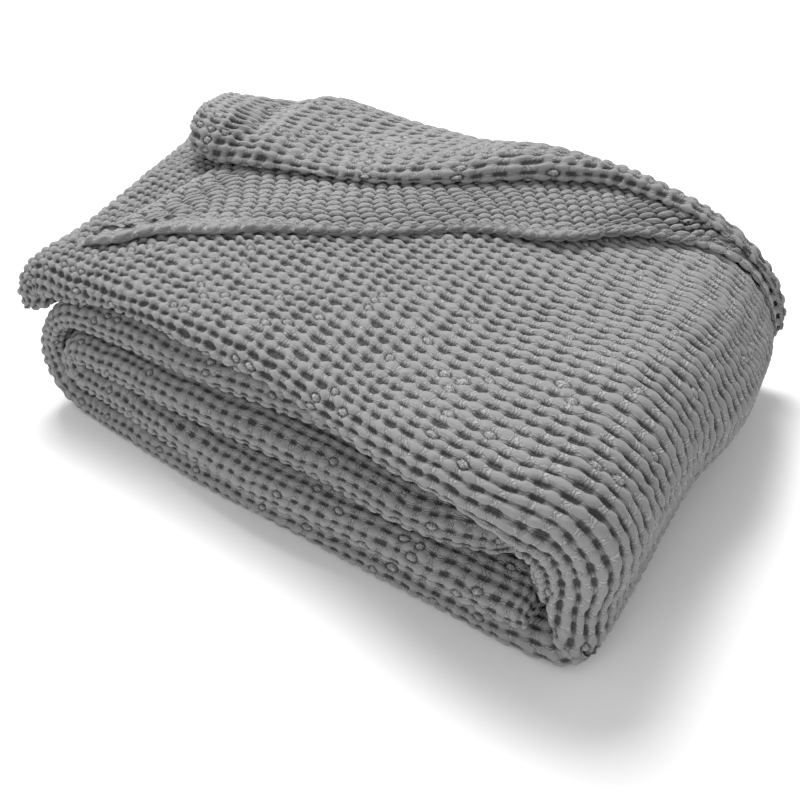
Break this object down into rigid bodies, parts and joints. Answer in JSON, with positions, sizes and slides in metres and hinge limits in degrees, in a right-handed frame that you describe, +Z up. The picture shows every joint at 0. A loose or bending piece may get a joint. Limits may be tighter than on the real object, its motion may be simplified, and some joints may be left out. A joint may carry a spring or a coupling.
{
  "type": "waffle weave cotton blanket",
  "caption": "Soft waffle weave cotton blanket, folded lengthwise and then over and over into a flat bundle, with one edge turned back on top.",
  "frame": {"origin": "middle of the bundle's footprint, on the surface it lies on", "axes": "+X along the bundle's long front towards the side with the closed wrap, +Y from the front with the showing folds to the back, +Z up"},
  "size_m": [0.4996, 0.3507, 0.147],
  "materials": {
    "cotton": "matt, soft, neutral grey waffle weave of brushed cotton yarn"
  },
  "bodies": {
    "root": {"blanket": "cotton"}
  },
  "joints": []
}
